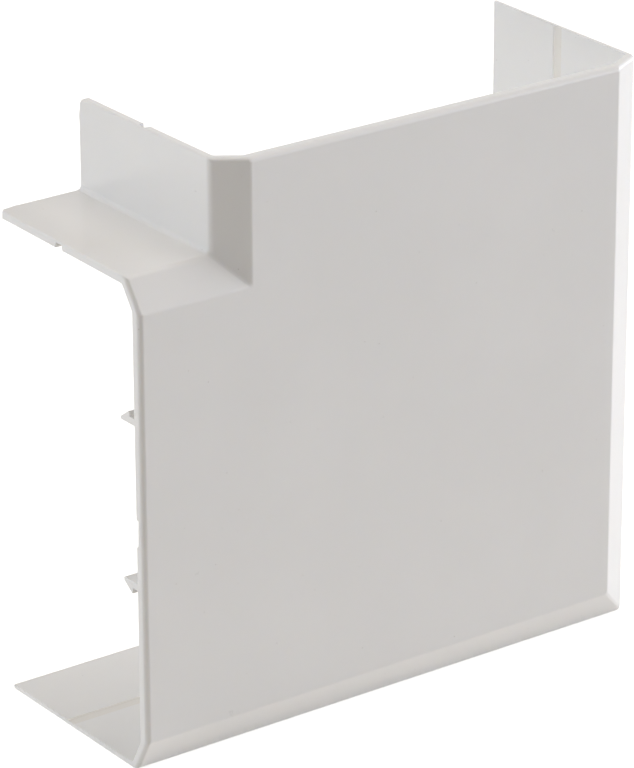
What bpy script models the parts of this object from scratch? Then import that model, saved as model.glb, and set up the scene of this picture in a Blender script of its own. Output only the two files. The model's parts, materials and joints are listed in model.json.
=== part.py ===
"""Flat angle cover for wall trunking: one moulded, L-shaped corner piece.

The cover goes over the corner where two runs of trunking meet on a flat wall. It stands
upright here: the face looks along -Y, the open back is at +Y, and the two arms open
towards -X and +Z. All sizes are in metres.
"""
import math

import bmesh
import bpy
from mathutils import Matrix, Vector

# The trunking that the cover takes, and the room left around it
TRUNKING_WIDTH = 0.110
TRUNKING_DEPTH = 0.050
SIDE_CLEARANCE = 0.0006
FACE_CLEARANCE = 0.0010

# Walls of the moulding
FACE_WALL = 0.0026
BEVEL_WALL = 0.0020
NOTCH_WALL = 0.0018
OUTER_WALL_ROOT = 0.0015
OUTER_WALL_EDGE = 0.0012

# How far the notch walls lean into the notch by the time they reach the back
NOTCH_DRAFT = 0.00045

# How far each arm reaches past the notch
ARM_REACH = 0.0215

# Slanted bands between the face and the walls
OUTER_BEVEL_WIDTH = 0.0081
OUTER_BEVEL_DEPTH = 0.0044
NOTCH_BEVEL_WIDTH = 0.0072
NOTCH_BEVEL_DEPTH = 0.0051

# Break line inside every wall, where the cover is cut down for shallower trunking
BREAK_LINE_DEPTH = 0.0302
NOTCH_LINE_MOUTH = 0.0027
OUTER_LINE_MOUTH = 0.0031
BREAK_LINE_TAPER = 0.0005
BREAK_LINE_WEB = 0.0005

# Snap legs behind the face, two in each arm
LEG_SPREAD = 0.0387
LEG_INSET = 0.0078
LEG_WIDTH = 0.0060
LEG_THICKNESS = 0.0016
LEG_REACH = 0.0196
BARB_HEIGHT = 0.0013
BARB_LAND = 0.0004
BARB_LENGTH = 0.0034
LEG_TIP = 0.0008
LEG_ROOT_SINK = 0.0010

# Gate recess in the back of the face, at the middle of the left opening
GATE_WIDTH = 0.0062
GATE_LENGTH = 0.0030
GATE_DEPTH = 0.0007

# Rounding
FACE_CREASE_RADIUS = 0.0014
NOTCH_BEND_RADIUS = 0.0021
OUTER_BEND_RADIUS = 0.0022
INSIDE_RADIUS = 0.0008
FACE_EDGE_RADIUS = 0.00125
WALL_EDGE_RADIUS = 0.00045
BACK_CORNER_RADIUS = 0.0016
NOTCH_CREASE_RADIUS = 0.0012
OUTER_CORNER_RADIUS = 0.0012
NARROWEST_ROUNDING = 0.00015
ARC_STEP = math.radians(10.0)
BEVEL_STEPS = 6

# How far cutters stand past what they cut
CUTTER_SPARE = 0.0020

# Distances and the angle below which points, planes and faces count as one
TOUCH = 0.00002
WELD = 0.000002
FLAT_ANGLE = math.radians(0.5)

PLASTIC_COLOUR = (0.86, 0.86, 0.84, 1.0)
PLASTIC_ROUGHNESS = 0.32

# Sizes that follow from the ones above
CHANNEL_WIDTH = TRUNKING_WIDTH + 2.0 * SIDE_CLEARANCE + NOTCH_WALL + OUTER_WALL_ROOT
COVER_DEPTH = FACE_WALL + FACE_CLEARANCE + TRUNKING_DEPTH
CHANNEL_MIDDLE = 0.5 * (NOTCH_WALL + CHANNEL_WIDTH - OUTER_WALL_ROOT)


def clear_scene():
    """Remove every object that the file starts with."""
    for old in list(bpy.data.objects):
        bpy.data.objects.remove(old, do_unlink=True)


def new_collection(name):
    """Make a collection in the scene."""
    collection = bpy.data.collections.new(name)
    bpy.context.scene.collection.children.link(collection)
    return collection


def plastic():
    """Make the white plastic of the moulding."""
    material = bpy.data.materials.new("white_plastic")
    material.use_nodes = True
    shader = material.node_tree.nodes["Principled BSDF"]
    shader.inputs["Base Color"].default_value = PLASTIC_COLOUR
    shader.inputs["Roughness"].default_value = PLASTIC_ROUGHNESS
    shader.inputs["Metallic"].default_value = 0.0
    return material


def outline_points(corners):
    """Turn (across, depth, radius) corners into outline points with true arcs."""
    points = []
    for index, (across, depth, radius) in enumerate(corners):
        corner = Vector((across, depth))
        before = Vector(corners[index - 1][:2]) - corner
        after = Vector(corners[(index + 1) % len(corners)][:2]) - corner
        if radius == 0.0:
            points.append(corner)
            continue
        turn = math.pi - before.angle(after)
        tangent = radius * math.tan(0.5 * turn)
        tangent = min(tangent, 0.45 * before.length, 0.45 * after.length)
        arc_radius = tangent / math.tan(0.5 * turn)
        start = corner + before.normalized() * tangent
        end = corner + after.normalized() * tangent
        bisector = (before.normalized() + after.normalized()).normalized()
        centre = corner + bisector * (arc_radius / math.cos(0.5 * turn))
        first = start - centre
        sweep = first.angle_signed(end - centre)
        steps = max(2, math.ceil(abs(sweep) / ARC_STEP))
        for step in range(steps + 1):
            points.append(centre + Matrix.Rotation(-sweep * step / steps, 2) @ first)
    return points


def bevel_inside(width, depth, side_wall):
    """Give the inner ends of a bevel: across on the face's back, depth on the wall."""
    slope = BEVEL_WALL * math.hypot(1.0 / width, 1.0 / depth)
    across = width * (1.0 + slope - FACE_WALL / depth)
    down = depth * (1.0 + slope - side_wall / width)
    return across, down


def notch_wall(depth, thickness):
    """Give the notch wall's place across the arm, counted from its leaning outside."""
    share = (depth - NOTCH_BEVEL_DEPTH) / (COVER_DEPTH - NOTCH_BEVEL_DEPTH)
    return thickness - share * NOTCH_DRAFT


def cover_section():
    """Give the section across one arm: notch wall, face and outer wall in one outline.

    Across runs from the notch wall's outside to the outer wall's outside, and depth runs
    from the face to the wall of the room.
    """
    outside = CHANNEL_WIDTH
    notch_across, notch_down = bevel_inside(NOTCH_BEVEL_WIDTH, NOTCH_BEVEL_DEPTH, NOTCH_WALL)
    outer_across, outer_down = bevel_inside(OUTER_BEVEL_WIDTH, OUTER_BEVEL_DEPTH, OUTER_WALL_ROOT)
    corners = [
        (notch_wall(COVER_DEPTH, 0.0), COVER_DEPTH, 0.0),
        (0.0, NOTCH_BEVEL_DEPTH, NOTCH_BEND_RADIUS),
        (NOTCH_BEVEL_WIDTH, 0.0, FACE_CREASE_RADIUS),
        (outside - OUTER_BEVEL_WIDTH, 0.0, FACE_CREASE_RADIUS),
        (outside, OUTER_BEVEL_DEPTH, OUTER_BEND_RADIUS),
        (outside, COVER_DEPTH, 0.0),
        (outside - OUTER_WALL_EDGE, COVER_DEPTH, 0.0),
        (outside - OUTER_WALL_ROOT, outer_down, INSIDE_RADIUS),
        (outside - outer_across, FACE_WALL, INSIDE_RADIUS),
        (notch_across, FACE_WALL, INSIDE_RADIUS),
        (notch_wall(notch_down, NOTCH_WALL), notch_down, INSIDE_RADIUS),
        (notch_wall(COVER_DEPTH, NOTCH_WALL), COVER_DEPTH, 0.0),
    ]
    return outline_points(corners)


def break_line_sections():
    """Give the outlines of the two grooves that run along the inside of an arm's walls.

    Each is a wedge from the floor of its groove, which leaves a thin web, through the
    mouth in the wall's inner face to a little past it.
    """
    outlines = {}
    notch_floor = notch_wall(BREAK_LINE_DEPTH, BREAK_LINE_WEB)
    notch_mouth = notch_wall(BREAK_LINE_DEPTH, NOTCH_WALL)
    outer_floor = CHANNEL_WIDTH - BREAK_LINE_WEB
    outer_mouth = CHANNEL_WIDTH - OUTER_WALL_ROOT
    for name, floor, mouth, mouth_width in (
        ("notch_break_line", notch_floor, notch_mouth, NOTCH_LINE_MOUTH),
        ("outer_break_line", outer_floor, outer_mouth, OUTER_LINE_MOUTH),
    ):
        past = 2.0 * mouth - floor
        floor_width = mouth_width - BREAK_LINE_TAPER
        past_width = mouth_width + BREAK_LINE_TAPER
        outline = []
        for across, width, order in ((floor, floor_width, 1.0), (past, past_width, -1.0)):
            for side in (-order, order):
                outline.append((across, BREAK_LINE_DEPTH + 0.5 * side * width, 0.0))
        outlines[name] = outline
    return outlines


def leg_section(side):
    """Give a snap leg's outline: a straight leg with a barb towards side, -1 or 1."""
    middle = CHANNEL_MIDDLE + side * 0.5 * LEG_SPREAD
    plain = middle - side * 0.5 * LEG_THICKNESS
    barbed = middle + side * 0.5 * LEG_THICKNESS
    crest = barbed + side * BARB_HEIGHT
    root = FACE_WALL - LEG_ROOT_SINK
    seat = LEG_REACH - BARB_LENGTH
    corners = [
        (plain, root, 0.0),
        (plain, LEG_REACH, 0.0),
        (plain + side * LEG_TIP, LEG_REACH, 0.0),
        (crest, seat + BARB_LAND, 0.0),
        (crest, seat, 0.0),
        (barbed, seat, 0.0),
        (barbed, root, 0.0),
    ]
    return outline_points(corners)


def extrude_section(name, points, start, end, collection):
    """Extrude an outline along +X from start to end, as a closed mesh."""
    curve = bpy.data.curves.new(name + "_outline", "CURVE")
    curve.dimensions = "2D"
    curve.fill_mode = "BOTH"
    curve.extrude = 0.5 * (end - start)
    spline = curve.splines.new("POLY")
    spline.points.add(len(points) - 1)
    for target, point in zip(spline.points, points):
        target.co = (point.x, point.y, 0.0, 1.0)
    spline.use_cyclic_u = True
    # The outline's first axis runs down (-Z), its second to the back (+Y)
    turn = Matrix(((0.0, 0.0, 1.0), (0.0, 1.0, 0.0), (-1.0, 0.0, 0.0))).to_4x4()
    place = Matrix.Translation((0.5 * (start + end), 0.0, 0.0)) @ turn
    drawn = bpy.data.objects.new(name + "_drawn", curve)
    collection.objects.link(drawn)
    graph = bpy.context.evaluated_depsgraph_get()
    mesh = bpy.data.meshes.new_from_object(drawn.evaluated_get(graph))
    mesh.name = name
    mesh.transform(place)
    bpy.data.objects.remove(drawn, do_unlink=True)
    solid = bpy.data.objects.new(name, mesh)
    collection.objects.link(solid)
    edit_mesh(solid, tidy_faces)
    return solid


def edit_mesh(obj, change):
    """Run one change on an object's mesh."""
    bm = bmesh.new()
    bm.from_mesh(obj.data)
    change(bm)
    bm.normal_update()
    bm.to_mesh(obj.data)
    bm.free()
    obj.data.update()


def split_faces(bm):
    """Split all faces into triangles, which are flat also where a rounding twists."""
    bmesh.ops.triangulate(bm, faces=bm.faces)


def tidy_faces(bm):
    """Weld the points, join the flat faces and turn all faces outwards."""
    bmesh.ops.remove_doubles(bm, verts=bm.verts, dist=WELD)
    bmesh.ops.dissolve_limit(bm, angle_limit=FLAT_ANGLE, verts=bm.verts, edges=bm.edges)
    bmesh.ops.recalc_face_normals(bm, faces=bm.faces)


def apply_modifiers(obj):
    """Turn an object's modifiers into plain mesh."""
    graph = bpy.context.evaluated_depsgraph_get()
    mesh = bpy.data.meshes.new_from_object(obj.evaluated_get(graph))
    mesh.name = obj.name
    old = obj.data
    obj.modifiers.clear()
    obj.data = mesh
    bpy.data.meshes.remove(old)


def boolean(obj, other, operation):
    """Join another solid to an object, or cut it away."""
    edit_mesh(obj, split_faces)
    modifier = obj.modifiers.new(other.name, "BOOLEAN")
    modifier.object = other
    modifier.operation = operation
    modifier.solver = "EXACT"
    apply_modifiers(obj)
    edit_mesh(obj, tidy_faces)


def hide_helper(obj):
    """Keep a cutter or guide out of the finished part."""
    obj.hide_render = True
    obj.display_type = "WIRE"


def round_edges(obj, edge_width, steps, slide):
    """Round an object's edges, each as wide from the edge as edge_width gives.

    With slide, the rounding ends on the edges that it crosses, which keeps the narrow
    faces of another rounding flat.
    """
    widest = 0.0

    def weigh(bm):
        nonlocal widest
        widths = [edge_width(edge) for edge in bm.edges]
        widest = max(widths)
        weight = bm.edges.layers.float.new("bevel_weight_edge")
        for edge, width in zip(bm.edges, widths):
            edge[weight] = width / widest

    def forget(bm):
        bm.edges.layers.float.remove(bm.edges.layers.float["bevel_weight_edge"])

    edit_mesh(obj, weigh)
    rounding = obj.modifiers.new("rounding", "BEVEL")
    rounding.width = widest
    rounding.offset_type = "OFFSET"
    rounding.limit_method = "WEIGHT"
    rounding.segments = steps
    rounding.use_clamp_overlap = False
    rounding.loop_slide = slide
    apply_modifiers(obj)
    edit_mesh(obj, forget)


def back_corner_width(edge):
    """Give the rounding of the notch wall's edge where the open end meets the back."""
    chosen = all(
        abs(vert.co.x + ARM_REACH) < TOUCH
        and abs(vert.co.y - COVER_DEPTH) < TOUCH
        and -vert.co.z < NOTCH_WALL
        for vert in edge.verts
    )
    return BACK_CORNER_RADIUS if chosen else 0.0


def is_open_end(face):
    """Say whether a face belongs to the arm's open end or its rounded back corner."""
    return face.normal.x < -0.1 and abs(face.normal.z) < 0.01


def is_outer_skin(face):
    """Say whether a face along the arm looks away from the middle of the channel."""
    middle = Vector((0.0, BREAK_LINE_DEPTH, -CHANNEL_MIDDLE))
    away = face.calc_center_median() - middle
    away.x = 0.0
    along_arm = abs(face.normal.x) < 0.01
    return along_arm and face.normal.dot(away) > 0.0 and face.normal.y < 0.5


def rim_radius(edge):
    """Give the radius of an outer edge round the arm's open end, or zero for other edges.

    It is full along the face, less on the slanted bands and least along the thin walls.
    """
    ends = [face for face in edge.link_faces if is_open_end(face)]
    skins = [face for face in edge.link_faces if is_outer_skin(face)]
    if len(ends) != 1 or len(skins) != 1:
        return 0.0
    wall_radius = min(WALL_EDGE_RADIUS, 0.8 * OUTER_WALL_EDGE, 0.8 * NOTCH_WALL)
    face_radius = min(FACE_EDGE_RADIUS, 0.8 * FACE_WALL)
    frontness = max(0.0, -skins[0].normal.y)
    return wall_radius + (face_radius - wall_radius) * frontness**2


def mitre_width(edge):
    """Give the rounding of an edge on the mitre of the outer skin, or zero elsewhere.

    The radius is the same all along, so the rounding narrows on the slanted bands and
    fades out at the face, where the two arms lie in one plane.
    """
    start, end = (vert.co for vert in edge.verts)
    if max(abs(point.x + point.z) for point in (start, end)) > TOUCH:
        return 0.0
    by_notch = 0.5 * (start.x + end.x) < CHANNEL_MIDDLE
    outwards = sum((face.normal for face in edge.link_faces), Vector())
    away = outwards.z - outwards.x if by_notch else outwards.x - outwards.z
    if away < 0.0 or outwards.y > 0.1:
        return 0.0
    radius = NOTCH_CREASE_RADIUS if by_notch else OUTER_CORNER_RADIUS
    width = radius * math.tan(0.5 * edge.calc_face_angle())
    return width if width > NARROWEST_ROUNDING else 0.0


def arm(collection, cutters):
    """Make the left arm, long enough to be cut at the mitre, with its legs and rounding."""
    body = extrude_section(
        "flat_angle_cover",
        cover_section(),
        -ARM_REACH,
        CHANNEL_WIDTH + ARM_REACH,
        collection,
    )
    round_edges(body, back_corner_width, BEVEL_STEPS + 1, True)
    round_edges(body, rim_radius, BEVEL_STEPS, False)
    line_start = -ARM_REACH - CUTTER_SPARE
    line_end = CHANNEL_WIDTH + ARM_REACH + CUTTER_SPARE
    for name, corners in break_line_sections().items():
        groove = extrude_section(name, outline_points(corners), line_start, line_end, cutters)
        hide_helper(groove)
        boolean(body, groove, "DIFFERENCE")
    leg_start = -ARM_REACH + LEG_INSET
    for name, side in (("upper_leg", -1.0), ("lower_leg", 1.0)):
        leg = extrude_section(name, leg_section(side), leg_start, leg_start + LEG_WIDTH, cutters)
        hide_helper(leg)
        boolean(body, leg, "UNION")
    return body


def mirror_to_second_arm(body, cutters):
    """Cut the arm at the mitre and mirror it, so that the second arm points up."""
    guide = bpy.data.objects.new("mitre_plane", None)
    guide.rotation_euler = (0.0, math.radians(-45.0), 0.0)
    cutters.objects.link(guide)
    hide_helper(guide)
    mirror = body.modifiers.new("second_arm", "MIRROR")
    mirror.mirror_object = guide
    mirror.use_axis = (True, False, False)
    mirror.use_bisect_axis = (True, False, False)
    mirror.use_bisect_flip_axis = (True, False, False)
    mirror.merge_threshold = TOUCH
    bpy.context.view_layer.update()
    apply_modifiers(body)
    edit_mesh(body, tidy_faces)


def cut_gate_recess(body, cutters):
    """Cut the shallow recess at the middle of the left opening's edge."""
    bpy.ops.mesh.primitive_cube_add(size=1.0)
    cutter = bpy.context.active_object
    cutter.name = "gate_recess"
    for owner in list(cutter.users_collection):
        owner.objects.unlink(cutter)
    cutters.objects.link(cutter)
    length = GATE_LENGTH + CUTTER_SPARE
    depth = GATE_DEPTH + CUTTER_SPARE
    size = Matrix.Diagonal((length, depth, GATE_WIDTH, 1.0))
    place = Matrix.Translation(
        (
            -ARM_REACH - CUTTER_SPARE + 0.5 * length,
            FACE_WALL - GATE_DEPTH + 0.5 * depth,
            -CHANNEL_MIDDLE,
        )
    )
    cutter.data.transform(place @ size)
    hide_helper(cutter)
    boolean(body, cutter, "DIFFERENCE")


def stand_on_origin(body):
    """Put the bottom centre of the cover's box at the world's origin."""
    half_span = 0.5 * (CHANNEL_WIDTH - ARM_REACH)
    body.data.transform(Matrix.Translation((-half_span, -0.5 * COVER_DEPTH, CHANNEL_WIDTH)))


def main():
    """Build the cover."""
    clear_scene()
    part = new_collection("flat_angle")
    cutters = new_collection("cutters")
    body = arm(part, cutters)
    mirror_to_second_arm(body, cutters)
    round_edges(body, mitre_width, BEVEL_STEPS, True)
    cut_gate_recess(body, cutters)
    stand_on_origin(body)
    body.data.materials.clear()
    body.data.materials.append(plastic())
    body.data.shade_smooth()
    body.data.set_sharp_from_angle(angle=math.radians(25.0))


main()
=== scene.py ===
"""Dress, light and frame a flat angle cover for wall trunking.

The cover is one white plastic moulding, shaped like a square corner. The moulding comes
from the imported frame. Here its edges are softened, its outer break lines are made shallow,
the marks that its mould leaves are added, and its plastic is made. The studio is a pale
floor, three large soft lamps and a camera.
"""

import json
import math

import bmesh
import bpy
from bpy.props import FloatProperty, FloatVectorProperty, PointerProperty
from bpy.types import Operator, Panel, PropertyGroup
from mathutils import Matrix, Vector

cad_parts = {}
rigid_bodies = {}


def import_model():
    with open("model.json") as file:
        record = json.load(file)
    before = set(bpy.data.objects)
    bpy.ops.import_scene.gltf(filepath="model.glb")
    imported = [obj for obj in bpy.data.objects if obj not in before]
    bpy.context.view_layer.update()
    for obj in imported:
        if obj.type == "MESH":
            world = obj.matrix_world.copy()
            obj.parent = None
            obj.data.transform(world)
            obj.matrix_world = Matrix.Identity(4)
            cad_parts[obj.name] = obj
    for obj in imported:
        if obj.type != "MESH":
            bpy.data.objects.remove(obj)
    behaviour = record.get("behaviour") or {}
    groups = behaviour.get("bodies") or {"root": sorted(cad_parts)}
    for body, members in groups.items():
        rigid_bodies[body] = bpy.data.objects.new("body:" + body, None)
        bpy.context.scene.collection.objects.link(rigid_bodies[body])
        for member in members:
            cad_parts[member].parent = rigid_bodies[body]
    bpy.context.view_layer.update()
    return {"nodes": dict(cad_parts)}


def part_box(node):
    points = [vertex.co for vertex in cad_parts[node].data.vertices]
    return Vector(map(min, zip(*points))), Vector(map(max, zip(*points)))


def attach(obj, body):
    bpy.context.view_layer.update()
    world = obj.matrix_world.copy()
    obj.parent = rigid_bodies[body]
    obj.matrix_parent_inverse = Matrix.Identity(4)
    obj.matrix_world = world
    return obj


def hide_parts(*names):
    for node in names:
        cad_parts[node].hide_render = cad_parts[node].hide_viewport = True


bl_info = {
    "name": "Flat Angle Cover",
    "version": (1, 0, 0),
    "blender": (4, 5, 0),
    "location": "3D View > Sidebar > Flat Angle",
    "description": "Dresses and lights a flat angle cover for wall trunking",
    "category": "Object",
}

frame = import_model()

COVER_NODE = "flat_angle_cover"
COVER_LOW, COVER_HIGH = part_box(COVER_NODE)

# How far the arms reach past the notch, and where the notch's corner is
ARM_REACH = 0.0215
NOTCH_X = COVER_LOW.x + ARM_REACH
NOTCH_Z = COVER_HIGH.z - ARM_REACH

# The back of the face, and the middle and half width of the break lines in the walls
FACE_BACK_Y = COVER_LOW.y + 0.0026
BREAK_LINE_Y = 0.0034
BREAK_LINE_HALF_WIDTH = 0.0017

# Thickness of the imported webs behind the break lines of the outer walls
PACKED_WEB = 0.0005

# Each snap leg's middle along its arm from the notch, its middle across the channel, and
# half its width and thickness
LEG_ALONG = 0.0107
LEG_ACROSS = (0.03805, 0.07675)
LEG_HALF_WIDTH = 0.0030
LEG_HALF_THICKNESS = 0.0008

# The middle of the gate, on the left arm's open edge, half its size and its soft border
GATE = Vector((COVER_LOW.x, COVER_LOW.y + 0.0010, NOTCH_Z - 0.0574))
GATE_HALF_SIZE = Vector((0.0006, 0.0009, 0.0024))
GATE_BORDER = 0.0002

# Where the ejector pins pushed on the back of the face, across and down from the notch
PINS = (
    (0.0240, 0.0240),
    (0.0570, 0.0570),
    (0.0930, 0.0930),
    (0.0240, 0.0930),
    (0.0930, 0.0240),
    (0.0060, 0.0574),
    (0.0574, 0.0060),
)

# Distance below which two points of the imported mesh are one, and a flat place's depth
WELD = 0.000002
TOUCH = 0.00005

# How far back the slanted bands end, and how deep the outer skins of the walls reach
BEVEL_END_Y = COVER_LOW.y + 0.0052
SKIN = 0.0003
NOTCH_SKIN = 0.0010

# Angles between two sides of an edge: all but flat, still shaded smooth, steep and square
ALL_BUT_FLAT = math.radians(0.5)
STILL_SMOOTH = math.radians(40.0)
STEEP = math.radians(60.0)
SQUARE = math.radians(80.0)

# Length below which a square edge is left as it is, and how straight along an axis it runs
SHORTEST_CRISP = 0.0015
STRAIGHT = 0.999

# How much a face's normal points forwards on the front, and back or forwards on a slope
ON_THE_FRONT = -0.3
ON_A_SLOPE = 0.5

# Sides of a pin's mark, and how far its cutter stands out of the face
PIN_SIDES = 48
CUTTER_REACH = 0.001


class CoverSettings(PropertyGroup):
    """Sizes and colours of the moulding."""

    edge_softness: FloatProperty(
        name="Edge softness",
        description="Width of the rounding on edges that the mould left crisp",
        default=0.00010,
        min=0.00002,
        max=0.0002,
        unit="LENGTH",
    )
    leg_fillet: FloatProperty(
        name="Leg fillet",
        description="Width of the fillet where a snap leg grows out of the face",
        default=0.0004,
        min=0.0001,
        max=0.0008,
        unit="LENGTH",
    )
    web_thickness: FloatProperty(
        name="Web thickness",
        description="Thickness that is left behind the break lines of the outer walls",
        default=0.00115,
        min=0.0005,
        max=0.0013,
        unit="LENGTH",
    )
    pin_radius: FloatProperty(
        name="Pin radius",
        description="Radius of the marks that the ejector pins left",
        default=0.0025,
        min=0.0010,
        max=0.0040,
        unit="LENGTH",
    )
    pin_depth: FloatProperty(
        name="Pin depth",
        description="Depth of the marks that the ejector pins left",
        default=0.00012,
        min=0.00002,
        max=0.0003,
        unit="LENGTH",
    )
    plastic_colour: FloatVectorProperty(
        name="Plastic colour",
        description="Colour of the white plastic",
        default=(0.86, 0.855, 0.845),
        min=0.0,
        max=1.0,
        size=3,
        subtype="COLOR",
    )
    # Painted shade and light: a darker, warmer colour than the plastic, in place of the shade
    # in the break lines and the light coming through the thin web
    web_shade_and_light_colour: FloatVectorProperty(
        name="Web colour",
        description="Colour of the thin web behind the break lines, where light comes through",
        default=(0.825, 0.80, 0.757),
        min=0.0,
        max=1.0,
        size=3,
        subtype="COLOR",
    )
    # Painted light: a colour lighter than the plastic on the sloping sides of the break lines,
    # in place of the light that fills their shade
    web_edge_painted_light: FloatVectorProperty(
        name="Web edge colour",
        description="Colour of the sloping sides of the break lines, where light comes through",
        default=(1.0, 0.985, 0.955),
        min=0.0,
        max=1.0,
        size=3,
        subtype="COLOR",
    )
    fleck_colour: FloatVectorProperty(
        name="Fleck colour",
        description="Colour of the few tiny flecks in the plastic",
        default=(0.50, 0.47, 0.43),
        min=0.0,
        max=1.0,
        size=3,
        subtype="COLOR",
    )
    gloss_roughness: FloatProperty(
        name="Roughness",
        description="Mean roughness of the moulded skin",
        default=0.30,
        min=0.05,
        max=0.9,
        subtype="FACTOR",
    )
    grain_height: FloatProperty(
        name="Grain height",
        description="Height of the fine grain that the mould leaves in the skin",
        default=0.000004,
        min=0.0,
        max=0.0001,
        unit="LENGTH",
    )


class StudioSettings(PropertyGroup):
    """Lamps, floor and camera."""

    world_level: FloatProperty(
        name="World level",
        description="Strength of the even light from all around",
        default=0.01,
        min=0.0,
    )
    right_power: FloatProperty(
        name="Right lamp",
        description="Power of the lamp to the right and a little in front",
        default=49.5,
        min=0.0,
        unit="POWER",
    )
    right_colour: FloatVectorProperty(
        name="Right lamp colour",
        description="Colour of the lamp to the right and a little in front",
        default=(0.895, 0.926, 1.0),
        min=0.0,
        max=1.0,
        size=3,
        subtype="COLOR",
    )
    left_power: FloatProperty(
        name="Left lamp",
        description="Power of the lamp behind on the left",
        default=34.0,
        min=0.0,
        unit="POWER",
    )
    left_colour: FloatVectorProperty(
        name="Left lamp colour",
        description="Colour of the lamp behind on the left",
        default=(0.893, 0.939, 1.0),
        min=0.0,
        max=1.0,
        size=3,
        subtype="COLOR",
    )
    top_power: FloatProperty(
        name="Top lamp",
        description="Power of the lamp overhead",
        default=29.5,
        min=0.0,
        unit="POWER",
    )
    top_colour: FloatVectorProperty(
        name="Top lamp colour",
        description="Colour of the lamp overhead",
        default=(1.0, 0.936, 0.866),
        min=0.0,
        max=1.0,
        size=3,
        subtype="COLOR",
    )
    floor_colour: FloatVectorProperty(
        name="Floor colour",
        description="Colour of the floor",
        default=(0.94, 0.91, 0.86),
        min=0.0,
        max=1.0,
        size=3,
        subtype="COLOR",
    )
    floor_white: FloatProperty(
        name="Floor white",
        description="How much white the floor shows on top of its lit colour",
        default=0.72,
        min=0.0,
        max=1.0,
        subtype="FACTOR",
    )
    camera_turn: FloatProperty(
        name="Camera turn",
        description="How far round to the right the camera stands, from straight in front",
        default=math.radians(-35.9667),
        unit="ROTATION",
    )
    camera_rise: FloatProperty(
        name="Camera rise",
        description="How far up the camera stands",
        default=math.radians(22.6665),
        unit="ROTATION",
    )
    camera_roll: FloatProperty(
        name="Camera roll",
        description="How far the camera is rolled",
        default=math.radians(-0.1890),
        unit="ROTATION",
    )
    camera_distance: FloatProperty(
        name="Camera distance",
        description="Distance from the camera to the point that it looks at",
        default=0.97620,
        unit="LENGTH",
    )
    camera_target: FloatVectorProperty(
        name="Camera target",
        description="The point that the camera looks at",
        default=(-0.022562, -0.0268, 0.080983),
        size=3,
        subtype="XYZ_LENGTH",
    )
    lens: FloatProperty(
        name="Lens",
        description="Focal length on a sensor 36 mm high",
        default=213.331,
        unit="CAMERA",
    )


class Value:
    """A number in a shader, which can be used in sums."""

    def __init__(self, sheet, socket):
        self.sheet = sheet
        self.socket = socket

    def __add__(self, other):
        return self.sheet.sum("ADD", self, other)

    def __radd__(self, other):
        return self.sheet.sum("ADD", other, self)

    def __sub__(self, other):
        return self.sheet.sum("SUBTRACT", self, other)

    def __rsub__(self, other):
        return self.sheet.sum("SUBTRACT", other, self)

    def __mul__(self, other):
        return self.sheet.sum("MULTIPLY", self, other)

    def __rmul__(self, other):
        return self.sheet.sum("MULTIPLY", other, self)


class Sheet:
    """The node sheet of a material or of the world."""

    def __init__(self, owner):
        owner.use_nodes = True
        self.owner = owner
        self.tree = owner.node_tree
        self.tree.nodes.clear()

    def node(self, kind, settings=None, inputs=None, output=0):
        """Add a node, make its settings, then fill its inputs; give one of its outputs."""
        node = self.tree.nodes.new(kind)
        for name, value in (settings or {}).items():
            setattr(node, name, value)
        for key, value in (inputs or {}).items():
            if isinstance(value, Value):
                self.tree.links.new(value.socket, node.inputs[key])
            else:
                node.inputs[key].default_value = value
        return Value(self, node.outputs[output]) if node.outputs else None

    def sum(self, operation, first, second):
        """Work out one step of arithmetic on two values."""
        return self.node("ShaderNodeMath", {"operation": operation}, {0: first, 1: second})

    def step(self, value, low, high):
        """Rise smoothly from 0 at low to 1 at high."""
        settings = {"interpolation_type": "SMOOTHSTEP"}
        inputs = {"Value": value, "From Min": low, "From Max": high}
        return self.node("ShaderNodeMapRange", settings, inputs)

    def within(self, place, middle, half_size, edge):
        """Give 1 inside a box round middle, fading to 0 over edge at its sides."""
        offset = self.node(
            "ShaderNodeVectorMath", {"operation": "SUBTRACT"}, {0: place, 1: middle}
        )
        size = self.node("ShaderNodeVectorMath", {"operation": "ABSOLUTE"}, {0: offset})
        inside = None
        for axis, half in enumerate(half_size):
            along = self.node("ShaderNodeSeparateXYZ", None, {0: size}, output=axis)
            share = 1.0 - self.step(along, half, half + edge)
            inside = share if inside is None else inside * share
        return inside

    def noise(self, place, scale, detail, roughness=0.5, distortion=0.0):
        """Give noise from 0 to 1, with scale in waves per metre."""
        inputs = {
            "Vector": place,
            "Scale": scale,
            "Detail": detail,
            "Roughness": roughness,
            "Distortion": distortion,
        }
        return self.node("ShaderNodeTexNoise", None, inputs)

    def mix(self, amount, first, second):
        """Mix two colours."""
        inputs = {"Factor": amount, 6: first, 7: second}
        return self.node("ShaderNodeMix", {"data_type": "RGBA"}, inputs, output=2)


def rgba(colour, level=1.0):
    """Give a colour four numbers, each made lighter or darker by level."""
    return (*(min(1.0, channel * level) for channel in colour), 1.0)


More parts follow.
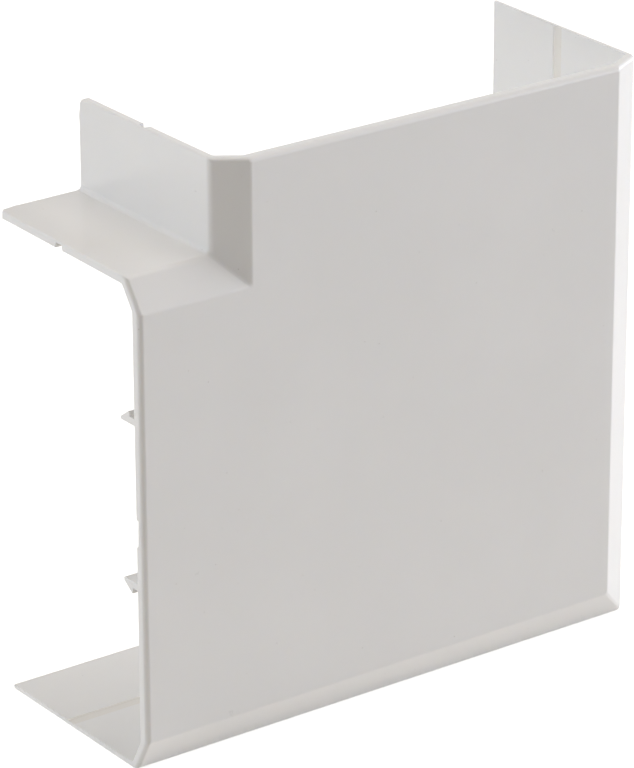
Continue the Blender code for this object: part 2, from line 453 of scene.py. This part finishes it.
def white_plastic(cover):
    """Make the white plastic: a glossy moulded skin with faint smears and flecks, and painted
    shade and light in the break lines.
    """
    sheet = Sheet(bpy.data.materials.new("white_plastic"))
    place = sheet.node("ShaderNodeTexCoord", output="Object")
    inside = sheet.node("ShaderNodeAttribute", {"attribute_name": "inside"}, output="Fac")
    web = sheet.node("ShaderNodeAttribute", {"attribute_name": "web"}, output="Fac")
    web_edge = sheet.node("ShaderNodeAttribute", {"attribute_name": "web_edge"}, output="Fac")

    # Colour: soft clouds of lighter and darker tone, painted shade and light in the break lines
    # and a few tiny flecks
    cloud = sheet.noise(place, scale=28.0, detail=3.0)
    darker = rgba(cover.plastic_colour, level=0.988)
    lighter = rgba(cover.plastic_colour, level=1.012)
    plain = sheet.mix(sheet.step(cloud, low=0.30, high=0.70), darker, lighter)
    # Painted shade and light: the webs behind the break lines take a darker, warmer colour for
    # their shade and the light coming through them
    with_painted_web_shade = sheet.mix(web, plain, rgba(cover.web_shade_and_light_colour))
    # Painted light: the sloping sides of the break lines take a colour lighter than the
    # plastic, in place of their shade
    with_painted_edge_light = sheet.mix(web_edge, with_painted_web_shade, rgba(cover.web_edge_painted_light))
    near_fleck = sheet.node(
        "ShaderNodeTexVoronoi", None, {"Vector": place, "Scale": 230.0}, output="Distance"
    )
    size = sheet.noise(place, scale=120.0, detail=0.0)
    fleck = 1.0 - sheet.step(near_fleck + (size - 0.5) * 0.04, low=0.018, high=0.036)
    colour = sheet.mix(fleck * 0.6, with_painted_edge_light, rgba(cover.fleck_colour))

    # Gloss: smears, fine grain and the cut face of the gate
    smear = sheet.noise(place, scale=60.0, detail=4.0, roughness=0.6, distortion=0.4)
    grain = sheet.noise(place, scale=900.0, detail=2.0)
    gate_cut = sheet.within(place, GATE, GATE_HALF_SIZE, GATE_BORDER)
    roughness = cover.gloss_roughness + (smear - 0.5) * 0.10 + (grain - 0.5) * 0.05
    roughness = roughness + inside * 0.06 + gate_cut * 0.22

    # Height: orange peel, slow waves and the torn grain of the gate
    peel = sheet.noise(place, scale=1400.0, detail=3.0, roughness=0.55)
    wave = sheet.noise(place, scale=45.0, detail=1.0)
    tear = sheet.noise(place, scale=3800.0, detail=4.0, roughness=0.7)
    height = peel + wave * 6.0 + tear * gate_cut * 9.0
    normal = sheet.node(
        "ShaderNodeBump",
        None,
        {"Strength": 1.0, "Distance": cover.grain_height, "Height": height},
    )
    shader = sheet.node(
        "ShaderNodeBsdfPrincipled",
        None,
        {
            "Base Color": colour,
            "Roughness": roughness,
            "Metallic": 0.0,
            "IOR": 1.5,
            "Subsurface Weight": 0.12,
            "Subsurface Radius": (1.0, 0.85, 0.62),
            "Subsurface Scale": 0.0015,
            "Normal": normal,
        },
    )
    sheet.node("ShaderNodeOutputMaterial", None, {"Surface": shader})
    return sheet.owner


def deselect_all():
    """Leave nothing selected."""
    if bpy.context.object is not None and bpy.context.object.mode != "OBJECT":
        bpy.ops.object.mode_set(mode="OBJECT")
    bpy.ops.object.select_all(action="DESELECT")


def take_up(piece):
    """Make one object the only selected and the active one."""
    deselect_all()
    piece.select_set(True)
    bpy.context.view_layer.objects.active = piece


def soften_edges(piece, chosen, width, segments):
    """Round, in edit mode, the edges that chosen picks."""
    bpy.ops.mesh.select_mode(type="EDGE")
    bpy.ops.mesh.select_all(action="DESELECT")
    mesh = bmesh.from_edit_mesh(piece.data)
    picked = [edge for edge in mesh.edges if edge.is_manifold and chosen(edge)]
    if not picked:
        raise RuntimeError("the moulding has no edge for " + chosen.__name__)
    for edge in picked:
        edge.select = True
    mesh.select_flush_mode()
    bmesh.update_edit_mesh(piece.data)
    bpy.ops.mesh.bevel(
        offset=width,
        offset_type="OFFSET",
        segments=segments,
        profile=0.5,
        affect="EDGES",
        clamp_overlap=False,
    )
    bpy.ops.mesh.select_all(action="SELECT")
    bpy.ops.mesh.remove_doubles(threshold=WELD)


def from_notch(point):
    """Give how far a point is across and down from the notch's corner."""
    return point.x - NOTCH_X, NOTCH_Z - point.z


def on_face_back(edge):
    """Say whether an edge lies on the back of the face."""
    return all(abs(vert.co.y - FACE_BACK_Y) < TOUCH for vert in edge.verts)


def by_a_leg(point):
    """Say whether a point lies within the outline of a snap leg."""
    across, down = from_notch(point)
    for along, over in ((across, down), (down, across)):
        in_width = abs(along + LEG_ALONG) < LEG_HALF_WIDTH + TOUCH
        if in_width and any(
            abs(over - middle) < LEG_HALF_THICKNESS + TOUCH for middle in LEG_ACROSS
        ):
            return True
    return False


def leg_root(edge):
    """Pick an edge where a snap leg grows out of the face."""
    if not on_face_back(edge) or edge.calc_face_angle() < STEEP:
        return False
    return all(by_a_leg(vert.co) for vert in edge.verts)


def crisp(edge):
    """Pick a straight edge where two flat sides meet squarely."""
    if edge.calc_face_angle() < SQUARE:
        return False
    along = edge.verts[1].co - edge.verts[0].co
    straight = max(abs(part) for part in along) > STRAIGHT * along.length
    return straight and along.length > SHORTEST_CRISP


def raise_webs(piece, cover):
    """Thicken the webs behind the outer walls' break lines, which are shallow lines there."""
    lift = cover.web_thickness - PACKED_WEB
    for vert in piece.data.vertices:
        if abs(vert.co.y - BREAK_LINE_Y) > BREAK_LINE_HALF_WIDTH:
            continue
        if abs(COVER_HIGH.x - vert.co.x - PACKED_WEB) < TOUCH:
            vert.co.x -= lift
        if abs(vert.co.z - COVER_LOW.z - PACKED_WEB) < TOUCH:
            vert.co.z += lift


def press_pin_marks(piece, cover):
    """Press the shallow round marks of the ejector pins into the back of the face."""
    deselect_all()
    deep_end = FACE_BACK_Y - cover.pin_depth
    open_end = FACE_BACK_Y + CUTTER_REACH
    for across, down in PINS:
        bpy.ops.mesh.primitive_cylinder_add(
            vertices=PIN_SIDES,
            radius=cover.pin_radius,
            depth=open_end - deep_end,
            location=(NOTCH_X + across, 0.5 * (deep_end + open_end), NOTCH_Z - down),
            rotation=(math.radians(90.0), 0.0, 0.0),
        )
        bpy.context.object.name = "pin_cutter"
    cutters = [thing for thing in bpy.data.objects if thing.name.startswith("pin_cutter")]
    for cutter in cutters:
        cutter.select_set(True)
    bpy.ops.object.join()
    cutter = bpy.context.object
    take_up(piece)
    press = piece.modifiers.new("pin_marks", "BOOLEAN")
    press.operation = "DIFFERENCE"
    press.solver = "EXACT"
    press.object = cutter
    bpy.ops.object.modifier_apply(modifier=press.name)
    bpy.data.objects.remove(cutter, do_unlink=True)


def looks_inwards(face):
    """Say whether a face looks into the channel."""
    place = face.center + face.normal * TOUCH
    if face.normal.y < ON_THE_FRONT and place.y < BEVEL_END_Y:
        return False
    across, down = from_notch(place)
    inside_outer_walls = place.x < COVER_HIGH.x - SKIN and place.z > COVER_LOW.z + SKIN
    short_of_the_ends = place.x > COVER_LOW.x and place.z < COVER_HIGH.z
    behind_the_face = FACE_BACK_Y < place.y < COVER_HIGH.y
    past_the_notch = max(across, down) > NOTCH_SKIN
    return inside_outer_walls and short_of_the_ends and behind_the_face and past_the_notch


def mark_faces(piece):
    """Mark the faces that look into the channel, and the webs and sides of the break lines,
    which get painted shade and light.
    """
    mesh = piece.data
    for name in ("inside", "web", "web_edge"):
        mesh.attributes.new(name, "FLOAT", "FACE")
    for face in mesh.polygons:
        points = [mesh.vertices[index].co for index in face.vertices]
        in_line = all(abs(point.y - BREAK_LINE_Y) < BREAK_LINE_HALF_WIDTH for point in points)
        inside = looks_inwards(face)
        # The webs get painted shade and light, and their sloping sides painted light, through
        # these marks
        web = inside and in_line
        web_edge = web and abs(face.normal.y) > ON_A_SLOPE
        mesh.attributes["inside"].data[face.index].value = float(inside)
        mesh.attributes["web"].data[face.index].value = float(web)
        mesh.attributes["web_edge"].data[face.index].value = float(web_edge)


class FLATANGLE_OT_cover(Operator):
    """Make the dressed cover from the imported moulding"""

    bl_idname = "flatangle.cover"
    bl_label = "Cover"

    def execute(self, context):
        """Copy the moulding, add its small forms, soften its edges and give it its plastic."""
        cover = context.scene.flat_angle_cover
        node = frame["nodes"][COVER_NODE]
        piece = bpy.data.objects.new("dressed_cover", node.data.copy())
        context.scene.collection.objects.link(piece)
        take_up(piece)
        bpy.ops.object.mode_set(mode="EDIT")
        bpy.ops.mesh.select_all(action="SELECT")
        bpy.ops.mesh.remove_doubles(threshold=WELD)
        bpy.ops.object.mode_set(mode="OBJECT")
        raise_webs(piece, cover)
        press_pin_marks(piece, cover)
        bpy.ops.object.mode_set(mode="EDIT")
        bpy.ops.mesh.select_all(action="SELECT")
        bpy.ops.mesh.dissolve_limited(angle_limit=ALL_BUT_FLAT)
        bpy.ops.mesh.normals_make_consistent(inside=False)
        soften_edges(piece, leg_root, cover.leg_fillet, segments=3)
        soften_edges(piece, crisp, cover.edge_softness, segments=2)
        bpy.ops.object.mode_set(mode="OBJECT")
        mark_faces(piece)
        bpy.ops.object.shade_smooth_by_angle(angle=STILL_SMOOTH)
        weighting = piece.modifiers.new("weighting", "WEIGHTED_NORMAL")
        weighting.keep_sharp = True
        bpy.ops.object.modifier_apply(modifier=weighting.name)
        piece.data.materials.clear()
        piece.data.materials.append(white_plastic(cover))
        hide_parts(COVER_NODE)
        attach(piece, "root")
        return {"FINISHED"}


# Where the lamps hang: how far round to the right of straight in front, and how far up
LAMP_PLACES = {
    "right": (math.radians(67.0), math.radians(12.0)),
    "left": (math.radians(-130.0), math.radians(12.0)),
    "top": (math.radians(0.0), math.radians(89.0)),
}
LAMP_AIM = Vector((0.0, 0.0, 0.06))
LAMP_DISTANCE = 2.2
LAMP_WIDTH = 2.4
LAMP_HEIGHT = 1.5

# How large the floor is, and the camera's sensor in millimetres
FLOOR_SIZE = 6.0
SENSOR_SIZE = 36.0


def towards(turn, rise):
    """Give the direction that is turn round to the right of straight in front, and rise up."""
    return Vector(
        (
            math.sin(turn) * math.cos(rise),
            -math.cos(turn) * math.cos(rise),
            math.sin(rise),
        )
    )


def soft_lamp(studio, name):
    """Hang one large soft lamp; the left one, which is behind, shows in no reflection."""
    direction = towards(*LAMP_PLACES[name])
    bpy.ops.object.light_add(type="AREA", location=LAMP_AIM + direction * LAMP_DISTANCE)
    lamp = bpy.context.object
    lamp.name = name + "_lamp"
    lamp.rotation_euler = direction.to_track_quat("Z", "Y").to_euler()
    lamp.data.shape = "RECTANGLE"
    lamp.data.size = LAMP_WIDTH
    lamp.data.size_y = LAMP_HEIGHT
    lamp.data.energy = getattr(studio, name + "_power")
    lamp.data.color = getattr(studio, name + "_colour")
    lamp.visible_glossy = name != "left"


def aim_camera(studio):
    """Stand the camera where the photograph was taken from."""
    turn, rise, roll = studio.camera_turn, studio.camera_rise, studio.camera_roll
    back = towards(turn, rise)
    level = Vector((math.cos(turn), math.sin(turn), 0.0))
    upright = back.cross(level)
    right = level * math.cos(roll) + upright * math.sin(roll)
    up = upright * math.cos(roll) - level * math.sin(roll)
    bpy.ops.object.camera_add()
    camera = bpy.context.object
    camera.name = "camera"
    pose = Matrix((right, up, back)).transposed().to_4x4()
    pose.translation = Vector(studio.camera_target) + back * studio.camera_distance
    camera.matrix_world = pose
    camera.data.sensor_fit = "AUTO"
    camera.data.sensor_width = SENSOR_SIZE
    camera.data.lens = studio.lens
    camera.data.clip_start = 0.05
    camera.data.clip_end = 20.0
    bpy.context.scene.camera = camera


def seen_directly(sheet):
    """Give 1 for rays that show the background itself and do not light the object."""
    seen = sheet.node("ShaderNodeLightPath", output="Is Camera Ray")
    for name in ("Is Glossy Ray", "Is Transmission Ray"):
        seen = sheet.sum("MAXIMUM", seen, sheet.node("ShaderNodeLightPath", output=name))
    return seen


def floor_material(studio):
    """Make the pale floor, which shows as white where the object leaves no shadow."""
    sheet = Sheet(bpy.data.materials.new("pale_floor"))
    matt = sheet.node("ShaderNodeBsdfDiffuse", None, {"Color": rgba(studio.floor_colour)})
    white = sheet.node(
        "ShaderNodeEmission", None, {"Strength": seen_directly(sheet) * studio.floor_white}
    )
    surface = sheet.node("ShaderNodeAddShader", None, {0: matt, 1: white})
    sheet.node("ShaderNodeOutputMaterial", None, {"Surface": surface})
    return sheet.owner


def studio_world(studio):
    """Make the world: white where it is seen, and faint as a light."""
    sheet = Sheet(bpy.data.worlds.new("studio_world"))
    seen = seen_directly(sheet)
    level = seen + (1.0 - seen) * studio.world_level
    sky = sheet.node(
        "ShaderNodeBackground", None, {"Color": (1.0, 1.0, 1.0, 1.0), "Strength": level}
    )
    sheet.node("ShaderNodeOutputWorld", None, {"Surface": sky})
    return sheet.owner


class FLATANGLE_OT_studio(Operator):
    """Set up the floor, the lamps, the world and the camera"""

    bl_idname = "flatangle.studio"
    bl_label = "Studio"

    def execute(self, context):
        """Build the studio round the cover."""
        studio = context.scene.flat_angle_studio
        deselect_all()
        bpy.ops.mesh.primitive_plane_add(size=FLOOR_SIZE, location=(0.0, 0.0, 0.0))
        floor = context.object
        floor.name = "studio_floor"
        floor.data.materials.append(floor_material(studio))
        for name in LAMP_PLACES:
            soft_lamp(studio, name)
        context.scene.world = studio_world(studio)
        aim_camera(studio)
        context.scene.view_settings.view_transform = "Standard"
        return {"FINISHED"}


class FLATANGLE_PT_panel(Panel):
    """List the steps and their settings"""

    bl_idname = "FLATANGLE_PT_panel"
    bl_label = "Flat Angle"
    bl_space_type = "VIEW_3D"
    bl_region_type = "UI"
    bl_category = "Flat Angle"

    def draw(self, context):
        """Draw the buttons and the settings."""
        for operator, group in (
            (FLATANGLE_OT_cover, context.scene.flat_angle_cover),
            (FLATANGLE_OT_studio, context.scene.flat_angle_studio),
        ):
            box = self.layout.box()
            box.operator(operator.bl_idname)
            for name in group.bl_rna.properties.keys():
                if name not in ("rna_type", "name"):
                    box.prop(group, name)


CLASSES = (
    CoverSettings,
    StudioSettings,
    FLATANGLE_OT_cover,
    FLATANGLE_OT_studio,
    FLATANGLE_PT_panel,
)


def register():
    """Register the classes and hang the settings on the scene."""
    for cls in CLASSES:
        bpy.utils.register_class(cls)
    bpy.types.Scene.flat_angle_cover = PointerProperty(type=CoverSettings)
    bpy.types.Scene.flat_angle_studio = PointerProperty(type=StudioSettings)


def unregister():
    """Take the settings and the classes away again."""
    del bpy.types.Scene.flat_angle_studio
    del bpy.types.Scene.flat_angle_cover
    for cls in reversed(CLASSES):
        bpy.utils.unregister_class(cls)


def main():
    """Make the cover and the studio."""
    register()
    bpy.ops.flatangle.cover()
    bpy.ops.flatangle.studio()


if __name__ == "__main__":
    main()
